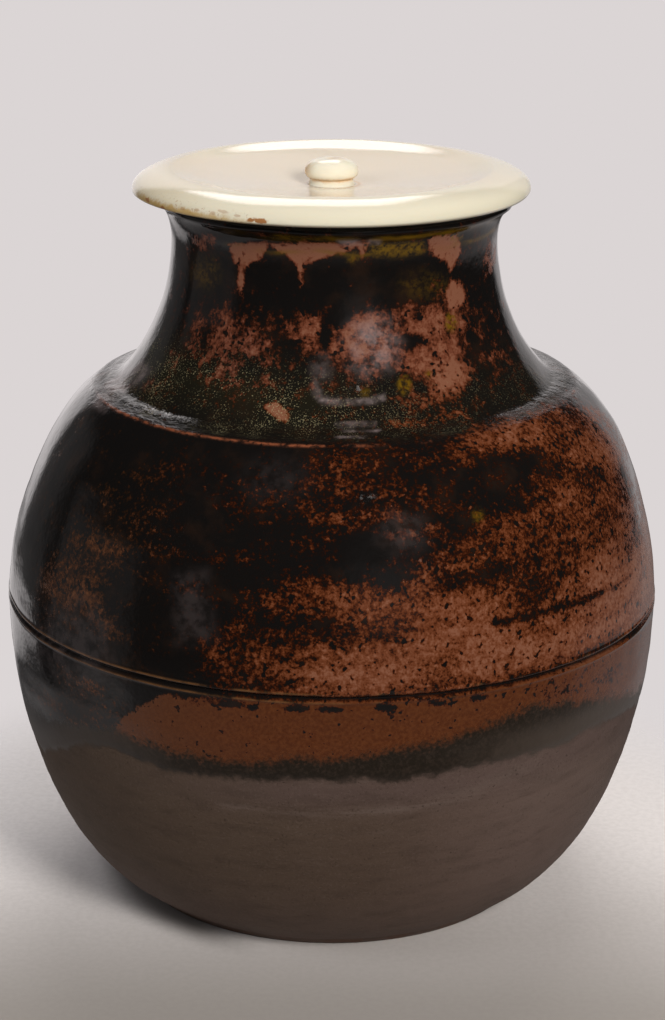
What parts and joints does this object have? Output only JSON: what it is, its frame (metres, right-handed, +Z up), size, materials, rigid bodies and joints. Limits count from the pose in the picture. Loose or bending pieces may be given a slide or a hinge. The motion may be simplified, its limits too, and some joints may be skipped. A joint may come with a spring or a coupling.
{
  "type": "tea caddy",
  "caption": "Round-bodied stoneware tea caddy with a short flared neck, half-dipped dark glaze, and a flat ivory-coloured lift-off lid with a small knob.",
  "frame": {"origin": "centre of the flat foot, on the surface that the jar stands on", "axes": "+Z up along the jar's axis; -Y faces the picture's camera"},
  "size_m": [0.0802, 0.0802, 0.0905],
  "materials": {
    "glazed_stoneware": "dark brown iron glaze, glossy, over matt dark clay at the foot",
    "ivory": "polished cream",
    "gold_leaf": "soft gold leaf"
  },
  "bodies": {
    "jar": {"jar_body": "glazed_stoneware"},
    "lid": {"lid_plate": "ivory", "lid_knob": "ivory", "lid_gold_leaf": "gold_leaf"}
  },
  "joints": [
    {"name": "lid_lift", "type": "slide", "parent": "jar", "child": "lid", "axis": [0, 0, 1], "range_m": [0, 0.06]}
  ]
}
